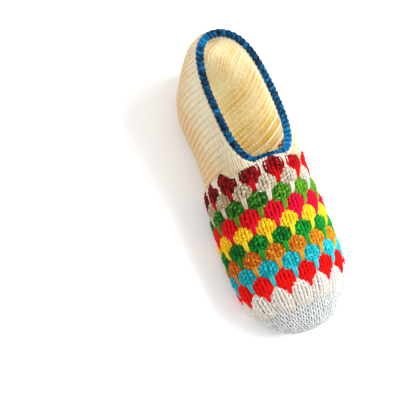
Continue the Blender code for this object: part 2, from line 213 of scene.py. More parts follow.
# Posts of a cluster, as shares of its half width, and the wraps round each post, as shares of its length
POSTS = np.array((-0.90, -0.56, -0.19, 0.19, 0.56, 0.90))
POST_HEIGHT = BOBBLE_HEIGHT + 1.1 * MM
POST_LIFT = 0.2 * MM
WRAPS = np.array((0.17, 0.34, 0.51, 0.68))
WRAP_STAGGER = 0.085
WRAP_WIDTH = 0.150
WRAP_LEANS = (0.13, 0.26)
WRAPS_THAT_LEAN_AHEAD = 0.7

# Stem of a cluster, in rounds along it and in cluster pitches across it
STEM_START = 0.55
STEM_END = 1.50
STEM_SPREAD = 0.052

# Lightness of the clusters, with painted light rising toward the wearer's left; the first round has its own,
# partly the yarn's shift from burgundy to red and partly painted light, but not between two turns counted
# from the sole
CLUSTER_TONE = 0.42
CLUSTER_PAINTED_LIGHT_RISE = 0.42
LEAF_TONE = 0.08
LEAF_TONE_RISE = 1.5
TONE_STRAY = 0.05
PALE_TURNS = (0.50, 0.70)

# Points of yarn between the first round's clusters
TEETH_POSTS = np.array((-0.33, -0.20, -0.07, 0.07, 0.20, 0.33))
TEETH_START = -0.85
TEETH_REACH = 0.95
TEETH_NARROWING = 1.5
FRONT_POSTS = np.linspace(-1.45, 1.45, 27)
FRONT_GAP = 0.34

# Toe cap
CAP_ROUNDS = 11
CAP_STITCH = 4.0 * MM
CAP_START = VAMP_FRONT + 0.5 * MM
CAP_LAP = 0.12

# Rows of the heel part, and its stitches
ROWS = 26
SIDE_WEIGHT = 0.85
ROW_STITCH = 3.7 * MM
STRAIGHT_ROW = 19
LAST_STITCH = 0.988
ROW_START = 0.02
ROW_REACH = 0.96
LAST_ROW_REACH = 1.45
HEEL_FLOOR = YARN * 0.4

# How the rows slant inside, where the sole's middle lies ahead of one side and behind the other
SLANT_REACH = 15 * MM
SLANT_FADE = 28 * MM
SLANT_STEEPNESS = 2.2

# Lightness of the heel part's rows, by shares of the way from the back to the throat; outside, painted shade
# at the back and toward the sole, and painted light toward the rim
LINING_TONE = 0.82
LINING_TONE_FALL = 0.78
SIDE_TONE = 0.75
BACK_END = 0.45
BACK_PAINTED_SHADE = 1.05
FRONT_START = 0.60
FRONT_TONE_FALL = 0.30
RIM_TONE_RISE = 4.0
RIM_TONE_SHARE = 0.85

# Pale strands inside, painted light where light shows through the wall's gaps, with their place and length in
# rows
EYELETS_PER_STITCH = 1.15
EYELET_PLACE = 0.20
EYELET_LENGTH = 0.42
EYELET_HEIGHT = 1.5 * MM

# Strands bent over the wall's upper edge, and the shares of the section that show which way it points
RIM_TOP = 0.9999
RIM_BELOW = 0.975
RIM_STRANDS = 64
RIM_BENDS = (
    # along the wall's face, through the wall
    (-2.2 * MM, 0.5 * MM),
    (-0.4 * MM, 0.7 * MM),
    (0.7 * MM, -0.4 * MM),
    (0.9 * MM, -WALL / 2),
    (0.7 * MM, 0.4 * MM - WALL),
    (-0.4 * MM, -0.7 * MM - WALL),
    (-2.4 * MM, -0.5 * MM - WALL),
)

# Back seam
SEAM_FACES = (
    # stitches, last place up the seam, reach along the foot, height at the ends, more at the middle, side
    (24, 0.965, 2.4 * MM, 0.9 * MM, 0.7 * MM, 1),
    (42, 0.985, 1.2 * MM, -WALL - 0.7 * MM, -0.3 * MM, -1),
)
SEAM_START = 0.10
SEAM_SLANT = 0.014

# Edging: its line, its stitches, and the turns of yarn across them in degrees, from the outside over the top
EDGE_STEP = 1 * MM
EDGE_TOP = 0.99999
EDGE_BELOW = 0.97
EDGE_CURVED_SHARE = 0.6
EDGE_CURVED_STEPS = 24
EDGE_FRONT_STEPS = 6
EDGE_POINTS = 256
EDGE_SMOOTHINGS = 8
EDGING_STITCH = 3.7 * MM
EDGING_RING = EDGING_RADIUS - YARN * 0.85
EDGING_START_ANGLE = -80
EDGING_TURN = 340
EDGING_LUMPS = (0.7, 1.3)
EDGING_WRAPS = ((35, 100), (150, 85), (-20, 40))
EDGING_CORE = EDGING_RADIUS * 0.66
EDGING_CORE_POINTS = 200
EDGING_TONE = -0.14
# painted highlights on the edging's yarn: their strength, then their places
EDGING_PAINTED_HIGHLIGHT = 0.95
EDGING_PAINTED_HIGHLIGHTS = (
    # place toward the throat, place toward the left, reach
    (0.97, 0.75, 0.24),
    (0.10, -0.55, 0.16),
)

# Floor, light and camera
FLOOR_REACH = 3.0
FLOOR_COLOUR = (0.93, 0.93, 0.93, 1)
FLOOR_ROUGHNESS = 0.9
FLOOR_SPECULAR = 0.1
WORLD_STRENGTH = 0.85
LIGHTS = (
    # name, place, target, size, power
    ("key", (0.10, 0.75, 0.85), (0.0, 0.0, 0.03), 0.7, 14.0),
    ("fill", (-0.35, -0.70, 0.75), (0.0, 0.0, 0.03), 0.9, 3.5),
)
GLOW = ("glow", (-0.060, -0.022, 0.050), (-0.060, 0.03, 0.035), 0.085, 0.037)
GLOW_HEIGHT = 0.030
GLOW_COLOUR = (1.0, 0.93, 0.80)
SENSOR = 36.0
LENS = 46.3
CAMERA_PLACE = (0.0905, -0.1626, 0.4000)
CAMERA_TARGET = (0.0010, -0.0500, 0.0297)
CAMERA_TOP = (-0.933, 0.36, 0.0)


def unit(vectors):
    """Vectors at length 1."""
    return vectors / np.maximum(np.linalg.norm(vectors, axis=-1, keepdims=True), TINY)


def arc_marks(line):
    """Distance along a line at each of its points."""
    return np.concatenate([[0.0], np.cumsum(np.linalg.norm(np.diff(line, axis=0), axis=1))])


def points_at(marks, arc, line):
    """Points of a line at distances along it."""
    return np.stack([np.interp(marks, arc, line[:, k]) for k in range(3)], axis=-1)


def smooth_row(table, place):
    """Value of a two-column table at a place, along a curve that never overshoots its rows."""
    xs = np.array([row[0] for row in table])
    ys = np.array([row[1] for row in table])
    steps = np.diff(xs)
    slopes = np.diff(ys) / steps
    tangents = np.zeros(len(xs))
    for i in range(1, len(xs) - 1):
        if slopes[i - 1] * slopes[i] > 0:
            tangents[i] = 2 * slopes[i - 1] * slopes[i] / (slopes[i - 1] + slopes[i])
    place = min(max(place, xs[0]), xs[-1])
    i = min(int(np.searchsorted(xs, place, side="right")) - 1, len(steps) - 1)
    q = (place - xs[i]) / steps[i]
    low = (1 + 2 * q) * (1 - q) ** 2 * ys[i] + q * (1 - q) ** 2 * steps[i] * tangents[i]
    high = q * q * (3 - 2 * q) * ys[i + 1] + q * q * (q - 1) * steps[i] * tangents[i + 1]
    return low + high


def dome(share, power):
    """Height of a superellipse quarter, from 1 at share 0 to 0 at share 1."""
    share = np.clip(share, 0.0, 1.0)
    return np.maximum(1.0 - share**power, 0.0) ** (1.0 / power)


def bulge(q, ends, more, power=1.0):
    """Values at shares q of a strand, which are more at its middle than at its ends."""
    return ends + more * np.sin(math.pi * q) ** power


def collar_share(height):
    """Share of the way up from the heel's widest level to the collar's back."""
    return np.clip((height - HEEL_LEVEL) / (COLLAR_BACK_HEIGHT - HEEL_LEVEL), 0, 1)


def collar_edge(x):
    """Half width and height of the collar's edge at x from the back."""
    share = min(max(x / COLLAR_FRONT, 0.0), 1.0)
    if share < COLLAR_WIDEST_SHARE:
        width = dome(1.0 - share / COLLAR_WIDEST_SHARE, COLLAR_HEEL_POWER)
    else:
        width = dome((share - COLLAR_WIDEST_SHARE) / (1.0 - COLLAR_WIDEST_SHARE), COLLAR_FRONT_POWER)
    return COLLAR_HALF_WIDTH * width, smooth_row(COLLAR_LINE, share)


def half_outline(x):
    """Left half of the last's section at x, from the bottom's centre to the ridge or the collar."""
    place = x / LENGTH
    width = smooth_row(WIDTHS, place)
    level = smooth_row(LEVELS, place)
    top = smooth_row(RIDGE, place)
    bottom = -SOLE_DEPTH
    toe = (x - (LENGTH - TOE_LENGTH)) / TOE_LENGTH
    if toe > 0:
        width *= dome(toe, TOE_POWER)
        top = TIP_HEIGHT + (top - TIP_HEIGHT) * dome(toe, TOE_POWER)
        level = TIP_HEIGHT + (level - TIP_HEIGHT) * dome(toe, TOE_POWER)
        bottom = TIP_HEIGHT - (TIP_HEIGHT + SOLE_DEPTH) * dome(toe, TOE_FLOOR_POWER)
    if x < HEEL_RADIUS:
        width *= dome(1 - x / HEEL_RADIUS, HEEL_POWER)
    if x < HEEL_FOOT_RADIUS:
        bottom += HEEL_FOOT_RADIUS * (1 - dome(1 - x / HEEL_FOOT_RADIUS, HEEL_FLOOR_POWER))
    angle = np.linspace(0, math.pi / 2, CURVE_POINTS, endpoint=False)
    low_y = width * np.sin(angle) ** (2 / SECTION_POWER)
    low_z = level - (level - bottom) * np.cos(angle) ** (2 / SECTION_POWER)
    if x < COLLAR_FRONT:
        edge_y, edge_z = collar_edge(x)
        closing = (x / COLLAR_FRONT) ** LEAN_IN_POWER
        lean = WALL_LEAN + (math.pi / 2 - WALL_LEAN) * closing
        reach = EDGE_PULL * (edge_z - level) * (1 - closing) + SIDE_PULL * (width - edge_y) * closing
    else:
        edge_y, edge_z = 0.0, top
        lean = math.pi / 2
        reach = SIDE_PULL * width
    start = np.array([width, level])
    end = np.array([edge_y, edge_z])
    pull_up = start + np.array([0.0, SIDE_PULL * (edge_z - level)])
    pull_in = end + reach * np.array([math.sin(lean), -math.cos(lean)])
    q = np.linspace(0, 1, CURVE_POINTS)[:, None]
    high = (1 - q) ** 3 * start + 3 * (1 - q) ** 2 * q * pull_up
    high = high + 3 * (1 - q) * q**2 * pull_in + q**3 * end
    y = np.concatenate([low_y, high[:, 0]])
    z = np.concatenate([low_z, high[:, 1]])
    fade = max(1 - x / COLLAR_FRONT, 0.0) ** LEAN_FADE_POWER
    return np.stack([x + COLLAR_LEAN * fade * collar_share(z) ** LEAN_FADE_POWER, y, z], axis=1)


def skin_grid():
    """Stations, points, normals and half lengths of the last's left half."""
    spread = np.linspace(0, math.pi, GRID_STATIONS)
    stations = LENGTH * (1 - np.cos(spread)) / 2
    shares = np.linspace(0, 1, GRID_SHARES)
    points = np.zeros((GRID_STATIONS, GRID_SHARES, 3))
    lengths = np.zeros(GRID_STATIONS)
    for i, x in enumerate(stations):
        line = half_outline(x)
        arc = arc_marks(line)
        lengths[i] = arc[-1]
        points[i] = points_at(shares * arc[-1], arc, line)
    along = np.gradient(points, axis=0)
    around = np.gradient(points, axis=1)
    normals = unit(np.cross(around, along))
    normals[-1] = (1.0, 0.0, 0.0)
    normals[0, :, 1] = 0.0
    normals[0] = unit(normals[0])
    normals[0, 0] = normals[0, 2]
    return stations, points, normals, lengths


STATIONS, SKIN, NORMALS, HALF_LENGTHS = skin_grid()


def half_length(x):
    """Length of the section's half outline at x."""
    return np.interp(x, STATIONS, HALF_LENGTHS)


def on_skin(x, side, height, floor=0.0):
    """Points and normals at x, at a signed share of the section (0 below, 1 above), raised by a height.

    No point lies below the floor's height.
    """
    x, side, height = np.broadcast_arrays(x, side, height)
    side = (side + 1) % 2 - 1
    share = np.abs(side) * (GRID_SHARES - 1)
    row = np.clip(np.interp(x, STATIONS, np.arange(GRID_STATIONS)), 0, GRID_STATIONS - 1.001)
    i = row.astype(int)
    j = np.minimum(share.astype(int), GRID_SHARES - 2)
    a = (row - i)[..., None]
    b = (share - j)[..., None]

    def blend(grid):
        near = grid[i, j] * (1 - b) + grid[i, j + 1] * b
        far = grid[i + 1, j] * (1 - b) + grid[i + 1, j + 1] * b
        return near * (1 - a) + far * a

    points = blend(SKIN)
    normals = blend(NORMALS)
    sign = np.where(side < 0, -1.0, 1.0)
    points[..., 1] *= sign
    normals[..., 1] *= sign
    normals = unit(normals)
    points = points + normals * height[..., None]
    points[..., 2] = np.maximum(points[..., 2], floor)
    return points, normals


def in_frame(points):
    """Points of the last in the frame's place: the slack collar leans over, the middle goes to the origin."""
    back = np.clip(1 - points[..., 0] / VAMP_BACK, 0, 1)
    points = points.copy()
    points[..., 1] -= COLLAR_SLUMP * collar_share(points[..., 2]) * back
    points[..., 0] -= MIDDLE
    return points


def sweep(lines, ups, radii, sides):
    """Tubes along lines (strands, points, 3): vertices, wall faces, end faces and texture places."""
    count, steps, _ = lines.shape
    tangents = unit(np.gradient(lines, axis=1))
    across = unit(np.cross(tangents, ups))
    upward = np.cross(across, tangents)
    side = np.arange(sides)
    angles = 2 * math.pi * side / sides
    arms = np.cos(angles)[:, None] * across[:, :, None, :] + np.sin(angles)[:, None] * upward[:, :, None, :]
    verts = lines[:, :, None, :] + radii[:, :, None, None] * arms
    first = np.arange(count)[:, None] * steps * sides
    ring = first[:, :, None] + np.arange(steps - 1)[:, None] * sides
    near = ring + side
    after = ring + (side + 1) % sides
    walls = np.stack([near, after, after + sides, near + sides], axis=-1).reshape(-1, 4)
    ends = np.stack([first + side[::-1], first + (steps - 1) * sides + side], axis=1).reshape(-1, sides)
    runs = np.cumsum(np.linalg.norm(np.diff(lines, axis=1), axis=2), axis=1)
    arcs = np.concatenate([np.zeros((count, 1)), runs], axis=1)
    u0 = np.broadcast_to(arcs[:, :-1, None], near.shape)
    u1 = np.broadcast_to(arcs[:, 1:, None], near.shape)
    v0 = np.broadcast_to(side / sides, near.shape)
    v1 = v0 + 1 / sides
    corners = ((u0, v0), (u0, v1), (u1, v1), (u1, v0))
    places = np.stack([np.stack(corner, axis=-1) for corner in corners], axis=3).reshape(-1, 2)
    end_places = np.tile(np.stack([np.zeros(sides), side / sides], axis=1), (2 * count, 1))
    return verts.reshape(-1, 3), walls, ends, np.concatenate([places, end_places])


class Knit:
    """Collects strands of one piece and turns them into a mesh."""

    def __init__(self, name):
        self.name = name
        self.verts = []
        self.faces = []
        self.places = []
        self.tones = []
        self.count = 0

    def add(self, lines, ups, radii, tones, sides=6):
        """Adds strands, pressed flat on the ground, with one tone each: 0 is dark and 1 is light."""
        radii = np.broadcast_to(radii, lines.shape[:2])
        verts, walls, ends, places = sweep(lines, ups, radii, sides)
        verts[:, 2] = np.maximum(verts[:, 2], 0.0)
        self.verts.append(in_frame(verts))
        self.faces.extend((walls + self.count).tolist())
        self.faces.extend((ends + self.count).tolist())
        self.places.append(places)
        self.tones.append(np.repeat(tones, lines.shape[1] * sides))
        self.count += len(verts)

    def finish(self, material):
        """The piece as an object that rides on the slipper."""
        mesh = bpy.data.meshes.new(self.name)
        mesh.from_pydata(np.concatenate(self.verts).tolist(), [], self.faces)
        layer = mesh.uv_layers.new(name="along_yarn")
        layer.data.foreach_set("uv", np.concatenate(self.places).ravel())
        tones = mesh.attributes.new("tone", "FLOAT", "POINT")
        tones.data.foreach_set("value", np.concatenate(self.tones))
        mesh.materials.append(material)
        mesh.shade_smooth()
        body = bpy.data.objects.new(self.name, mesh)
        bpy.context.scene.collection.objects.link(body)
        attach(body, "root")
        return body


def feed(tree, node, inputs):
    """Sets a node's inputs, each to a value or to another node's output."""
    for key, value in inputs.items():
        if isinstance(value, bpy.types.NodeSocket):
            tree.links.new(value, node.inputs[key])
        else:
            node.inputs[key].default_value = value


def add_node(tree, kind, inputs, **settings):
    """A new node with its settings and inputs."""
    node = tree.nodes.new(f"ShaderNode{kind}")
    for key, value in settings.items():
        setattr(node, key, value)
    feed(tree, node, inputs)
    return node


def yarn_material(name, dark, light, sheen=SHEEN, ply=True):
    """Matte spun yarn: colour drifting between two tones, fine fibres and the twist of its plies."""
    material = bpy.data.materials.new(name)
    material.use_nodes = True
    tree = material.node_tree
    spot = add_node(tree, "TexCoord", {})
    drifting = {"Vector": spot.outputs["Object"], "Scale": DRIFT_SCALE, "Detail": DRIFT_DETAIL}
    drift = add_node(tree, "TexNoise", drifting)
    tone = add_node(tree, "Attribute", {}, attribute_name="tone")
    total = add_node(tree, "Math", {0: drift.outputs["Fac"], 1: tone.outputs["Fac"]}, operation="ADD")
    span = {"Value": total.outputs["Value"], "From Min": TONES[0], "From Max": TONES[1]}
    share = add_node(tree, "MapRange", span)
    mixing = {"Factor": share.outputs["Result"], "A": (*dark, 1), "B": (*light, 1)}
    colour = add_node(tree, "Mix", mixing, data_type="RGBA")
    fibres = {"Vector": spot.outputs["Object"], "Scale": FIBRE_SCALE, "Detail": FIBRE_DETAIL}
    fibre = add_node(tree, "TexNoise", fibres)
    rough = {"Height": fibre.outputs["Fac"], "Strength": FIBRE_STRENGTH, "Distance": FIBRE_DEPTH}
    surface = add_node(tree, "Bump", rough)
    if ply:
        surface = ply_bump(tree, spot.outputs["UV"], surface.outputs["Normal"])
    feed(tree, tree.nodes["Principled BSDF"], {
        "Base Color": colour.outputs["Result"],
        "Normal": surface.outputs["Normal"],
        "Roughness": ROUGHNESS,
        "Sheen Weight": sheen,
        "Sheen Roughness": SHEEN_ROUGHNESS,
        "Specular IOR Level": SPECULAR,
    })
    return material


def ply_bump(tree, run_and_turn, normal):
    """Grooves between the twisted plies of a strand, over a finer surface."""
    split = add_node(tree, "SeparateXYZ", {"Vector": run_and_turn})
    place_in_turn = {0: split.outputs["X"], 1: 1 / PLY_TURN, 2: split.outputs["Y"]}
    turn = add_node(tree, "Math", place_in_turn, operation="MULTIPLY_ADD")
    angle = add_node(tree, "Math", {0: turn.outputs["Value"], 1: PLIES * 2 * math.pi}, operation="MULTIPLY")
    wave = add_node(tree, "Math", {0: angle.outputs["Value"]}, operation="SINE")
    grooves = {"Height": wave.outputs["Value"], "Strength": PLY_STRENGTH, "Distance": PLY_DEPTH}
    return add_node(tree, "Bump", {**grooves, "Normal": normal})


def shades(tone, spread, count, low=0.0, high=1.0):
    """Tones of some strands, each a little off the given one."""
    return np.clip(tone + RNG.normal(0, spread, count), low, high)


def cluster_places(shift):
    """Turns of one round's clusters, from the bottom's centre, and their shares of the section."""
    for number in range(BOBBLES_PER_ROUND):
        turn = (number + shift) / BOBBLES_PER_ROUND
        yield turn, 2 * turn if turn <= 0.5 else 2 * turn - 2


def vamp_side(x, side):
    """Share of the section for a line that runs on past the throat, and whether it lies inside the rim."""
    run_on = side * half_length(COLLAR_FRONT) / half_length(x)
    side = np.where(x < COLLAR_FRONT, run_on, side)
    return side, (x >= COLLAR_FRONT) | (np.abs(side) < RIM_SHARE)


def cluster_lines(x0, side0, along, across, height):
    """Lines on the skin at offsets from a cluster's heart: along in rounds, across in cluster pitches."""
    x, across, height = np.broadcast_arrays(x0 + along * ROUND_PITCH, across, height)
    past = 0.0
    if np.abs(side0) > TOP_SHARE:
        x = np.maximum(x, VAMP_BACK - YARN)
        held = np.maximum(x, COLLAR_FRONT + THROAT_HOLD)
        past = held - x
        x = held
    side, inside = vamp_side(x, side0 + across * BOBBLE_PITCH)
    side = np.where(inside, side, np.clip(side, -RIM_SHARE, RIM_SHARE))
    points, normals = on_skin(x, side, height, floor=YARN / 2)
    points[..., 0] -= past
    points[..., 2] += THROAT_SLOPE * past
    return points, normals


def outline_width(along, shape):
    """Half width of a cluster, in cluster pitches, along it."""
    behind = dome((shape.middle - along) / (shape.middle - shape.back), shape.back_power)
    ahead = dome((along - shape.middle) / (shape.front - shape.middle), shape.front_power)
    return shape.width * np.where(along < shape.middle, behind, ahead)


def cluster_height(marks, across):
    """Height of a cluster's posts at shares of its length and of its half width."""
    crown = 0.30 + 0.70 * dome(np.abs(across) * 0.97, 2.0)
    return bulge(marks, ends=0.08, more=0.92, power=0.65) * crown * POST_HEIGHT


def cluster_tone(x0, side0, leaf=False):
    """Lightness of a cluster's yarn: painted light, brighter on the wearer's left where the key light falls,
    with a little of its own.
    """
    point, _ = on_skin(np.array([x0]), np.array([side0]), np.zeros(1))
    left = point[0, 1] / BALL_HALF_WIDTH
    if leaf:
        # the first round's rise toward the wearer's left: partly the yarn's shift from burgundy to red,
        # partly painted light
        return LEAF_TONE + LEAF_TONE_RISE * max(left, 0.0) + RNG.normal(0, TONE_STRAY)
    return CLUSTER_TONE + CLUSTER_PAINTED_LIGHT_RISE * left + RNG.normal(0, TONE_STRAY)


def build_round(index):
    """One round of clusters: posts that meet at both ends, their wraps, and the stem toward the toe."""
    name, kind, dark, light = ROUND_YARNS[index]
    knit = Knit(f"round_{index + 1}_{name}")
    x0 = VAMP_BACK + (index + 0.5) * ROUND_PITCH
    first_round = index == 0
    for turn, side0 in cluster_places(0.5 if index % 2 == 0 else 0.0):
        pale = PALE_TURNS[0] <= turn < PALE_TURNS[1]
        tone = cluster_tone(x0, side0, leaf=first_round and not pale)
        crest = first_round and abs(side0) > TOP_SHARE
        shape = SHAPES["crest" if crest else kind]
        add_posts(knit, x0, side0, shape, tone)
        add_wraps(knit, x0, side0, shape, tone)
        add_inner_posts(knit, x0, side0, tone)
        if crest:
            add_bed(knit, x0, side0, tone)
        if shape.stem:
            add_stem(knit, x0, side0, tone)
    if first_round:
        add_woven_ends(knit)
    material = yarn_material(f"{name}_yarn_{index + 1}", dark, light, sheen=FIRM_SHEEN)
    return knit.finish(material)


def add_posts(knit, x0, side0, shape, tone):
    """Tall stitches of a cluster, spread at its middle and drawn together at its ends."""
    q = np.linspace(0, 1, 11)
    along = shape.back + (shape.front - shape.back) * q
    stray = RNG.normal(0, 0.006, (len(POSTS), 1))
    across = POSTS[:, None] * outline_width(along, shape) + stray
    marks = shape.arch_start + (1 - shape.arch_start) * q
    height = cluster_height(marks, POSTS[:, None]) + POST_LIFT
    points, normals = cluster_lines(x0, side0, along, across, height)
    radii = YARN * bulge(q, ends=0.58, more=0.65, power=0.6)
    # posts kept 0.30 darker than their wraps: painted shade in the gaps between the wraps
    tones = shades(tone - 0.30, 0.10, len(POSTS), low=-0.3, high=2.0)
    knit.add(points, normals, radii, tones)


def add_wraps(knit, x0, side0, shape, tone):
    """Short slanted turns of yarn round each post, which make the cluster pebbly."""
    q = np.linspace(0, 1, 5)
    count = len(POSTS) * len(WRAPS)
    posts = np.repeat(POSTS, len(WRAPS)) + RNG.normal(0, 0.04, count)
    stagger = np.repeat(np.arange(len(POSTS)) % 2, len(WRAPS)) * WRAP_STAGGER
    marks = np.tile(WRAPS, len(POSTS)) + stagger + RNG.normal(0, 0.025, count)
    heart = shape.back + (shape.front - shape.back) * marks
    way = np.where(RNG.random(count) < WRAPS_THAT_LEAN_AHEAD, 1.0, -1.0)
    lean = way * RNG.uniform(*WRAP_LEANS, count)
    along = heart[:, None] + (q - 0.5) * lean[:, None]
    across = (posts * outline_width(heart, shape))[:, None] + (q - 0.5) * WRAP_WIDTH
    hump = bulge(q, ends=-0.9, more=1.9, power=0.8) * RNG.uniform(0.8, 1.15, (count, 1)) * MM
    height = cluster_height(np.clip(marks, 0, 1)[:, None], posts[:, None]) + hump
    points, normals = cluster_lines(x0, side0, along, across, height)
    radii = YARN * bulge(q, ends=0.50, more=0.34) * RNG.uniform(0.85, 1.15, (count, 1))
    tones = shades(tone + 0.06, shape.spread, count, low=-0.2, high=2.0)
    knit.add(points, normals, radii, tones)


def add_bed(knit, x0, side0, tone):
    """Low strands side by side below a cluster that meets the throat."""
    q = np.linspace(0, 1, 6)
    across = np.linspace(-0.37, 0.37, 8)[:, None]
    start = -0.64 + 2.2 * across**2
    along = start + (0.26 - start) * q
    points, normals = cluster_lines(x0, side0, along, across, 2.1 * MM)
    knit.add(points, normals, YARN * 0.95, shades(tone, 0.12, len(across)))


def add_inner_posts(knit, x0, side0, tone):
    """The cluster's plain back, on the inside of the vamp."""
    q = np.linspace(0, 1, 6)
    posts = np.linspace(-0.36, 0.36, 4)[:, None]
    x = x0 + (-0.48 + 0.98 * q) * ROUND_PITCH
    side, inside = vamp_side(x, side0 + posts * BOBBLE_PITCH)
    height = -WALL - bulge(q, ends=0.3, more=0.5) * MM
    points, normals = on_skin(x, side, height, floor=WALL)
    tones = shades(tone - 0.1, 0.08, len(posts))
    if inside.all():
        knit.add(points, -normals, YARN, tones, sides=5)


def add_stem(knit, x0, side0, tone):
    """Two strands from the cluster's foot toward the toe, over the gap between the next round's heads."""
    q = np.linspace(0, 1, 9)
    offset = np.array([-STEM_SPREAD, STEM_SPREAD])[:, None]
    along = STEM_START + (STEM_END - STEM_START) * q
    across = offset * (1 - 0.3 * q) + RNG.normal(0, 0.008)
    height = (2.3 * (1 - q) ** 0.8 + bulge(q, ends=1.5, more=0.9) - 0.9 * q**3) * MM
    points, normals = cluster_lines(x0, side0, along, across, height)
    radii = YARN * (1.0 - 0.25 * q**2)
    tones = np.clip([tone + 0.24, tone + 0.16], 0, 1)
    knit.add(points, normals, radii, tones, sides=7)


def add_woven_ends(knit):
    """Ends of the first round's yarn, woven in inside the throat's corner on the wearer's left."""
    q = np.linspace(0, 1, 8)
    lanes = np.linspace(0, 1, 5)[:, None]
    side = 0.50 + 0.14 * q + RNG.normal(0, 0.02, lanes.shape)
    x = VAMP_BACK - (7 + 5 * lanes + 0.5 * np.sin(9 * q)) * MM
    points, normals = heel_skin(x, side, 1.3 * MM, inside=True)
    knit.add(points, normals, YARN * 0.8, RNG.uniform(-0.1, 0.5, len(lanes)))


def build_throat_teeth():
    """Points of the heel part's yarn that run in between the first round's clusters."""
    knit = Knit("throat_teeth")
    q = np.linspace(0, 1, 8)
    x0 = VAMP_BACK + 0.5 * ROUND_PITCH
    count = len(TEETH_POSTS)
    across = TEETH_POSTS[:, None] * (1 - 0.35 * q)
    for _, side0 in cluster_places(0.0):
        reach = TEETH_REACH - TEETH_NARROWING * np.abs(TEETH_POSTS) + RNG.normal(0, 0.06, count)
        along = TEETH_START + (reach[:, None] - TEETH_START) * q
        points, normals = cluster_lines(x0, side0, along, across, bulge(q, ends=1.1, more=1.1) * MM)
        radii = YARN * bulge(q, ends=0.95, more=0.20)
        # the teeth take the clusters' painted light, brighter toward the wearer's left
        knit.add(points, normals, radii, shades(cluster_tone(x0, side0), 0.1, count))
    add_front_stitches(knit, x0, q)
    return knit.finish(yarn_material("teeth_yarn", TEETH_DARK, TEETH_LIGHT))


def add_front_stitches(knit, x0, q):
    """Short low stitches between the clusters at the throat's front."""
    from_cluster = np.abs(FRONT_POSTS - np.round(FRONT_POSTS))
    across = FRONT_POSTS[from_cluster > FRONT_GAP][:, None]
    lean = (q - 0.5) * RNG.normal(0, 0.05, across.shape)
    points, normals = cluster_lines(x0, 1.0, -0.62 + 0.50 * q, across + lean, 0.3 * MM)
    # painted light: the stitches lighten toward the wearer's left, where the key light falls
    left = points[:, 0, 1] / COLLAR_HALF_WIDTH
    knit.add(points, normals, YARN * 0.85, shades(0.55 + 0.4 * left, 0.1, len(across)))


def build_toe_cap():
    """Rounds of short stitches from the vamp to the tip, evenly spaced along the cap's curve."""
    knit = Knit("toe_stitches")
    span = LENGTH - CAP_START
    for number in range(CAP_ROUNDS):
        low = math.pi / 2 * number / (CAP_ROUNDS + CAP_LAP)
        high = math.pi / 2 * (number + 1 + CAP_LAP) / (CAP_ROUNDS + CAP_LAP)
        around = 2 * half_length(CAP_START + span * math.sin((low + high) / 2))
        stitches = max(6, round(around / CAP_STITCH))
        side = 2 * (np.arange(stitches) + 0.5 * (number % 2)) / stitches
        add_cap_legs(knit, low, high, side[:, None], 2 / stitches)
        add_cap_bars(knit, low + (high - low) * 0.06, side[:, None], 2 / stitches)
    return knit.finish(yarn_material("white_yarn", WHITE_DARK, WHITE_LIGHT))


def cap_x(angle):
    """Place along the foot at an angle from the cap's edge, 0, to its tip, a quarter turn."""
    return CAP_START + (LENGTH - CAP_START) * np.sin(np.minimum(angle, math.pi / 2))


def add_cap_legs(knit, low, high, side, width):
    """The two leaning legs of each stitch in one of the cap's rounds."""
    q = np.linspace(0, 1, 8)
    x = cap_x(low + (high - low) * q)
    for leg in (-1, 1):
        across = side + leg * width * (0.10 + 0.20 * np.sin(math.pi * q * 0.8))
        rise = bulge(q, ends=0.15, more=0.95, power=0.6) * MM
        height = CAP_LIFT + rise + RNG.normal(0, 0.08, side.shape) * MM
        points, normals = on_skin(x, across, height, floor=YARN / 2)
        radii = YARN * bulge(q, ends=0.42, more=0.38, power=0.7)
        # painted light: the cap's stitches lighten toward the wearer's left, where the key light falls
        left = points[:, 4, 1] / BALL_HALF_WIDTH
        knit.add(points, normals, radii, 0.55 + 0.35 * left + RNG.uniform(-0.2, 0.25, len(side)))


def add_cap_bars(knit, angle, side, width):
    """The bar across the foot of each stitch in one of the cap's rounds."""
    bar = np.linspace(-0.55, 0.55, 6)
    height = CAP_LIFT + (0.35 + 0.45 * np.cos(bar * math.pi / 1.1)) * MM
    points, normals = on_skin(cap_x(angle), side + bar * width, height, floor=YARN / 2)
    knit.add(points, normals, YARN * 0.55, RNG.uniform(0.2, 0.6, len(side)))


def row_line():
    """Distance along the heel part at each station, between that along the side and that along the sole."""
    widest = SKIN[:, :, 1].max(axis=1)
    steps = np.hypot(np.diff(STATIONS), np.diff(widest))
    side = np.concatenate([[0.0], np.cumsum(steps)])
    return SIDE_WEIGHT * side + (1 - SIDE_WEIGHT) * STATIONS


ROW_LINE = row_line()
HEEL_RUN = np.interp(VAMP_BACK, STATIONS, ROW_LINE)


def row_x(row):
    """Place along the foot of a row, or of a share of a row, counted from the back."""
    return np.interp(np.asarray(row) / ROWS * HEEL_RUN, ROW_LINE, STATIONS)


def row_places(row):
    """Shares of the stitches along one row of the heel part, from the right edge to the left edge."""
    x = row_x(row + 1) if row >= STRAIGHT_ROW else row_x(row + 0.5)
    stitches = max(8, round(2 * half_length(x) / ROW_STITCH))
    return np.linspace(-LAST_STITCH, LAST_STITCH, stitches), 2 / stitches


def row_lines(row, x, side, height, inside):
    """Points and facing directions of lines in one row of the heel part.

    Where the throat cuts the rim in, they keep their distance from the bottom's centre.
    """
    if row >= STRAIGHT_ROW:
        side = side * half_length(row_x(row + 1)) / half_length(x)
    return heel_skin(x, side, height, inside)


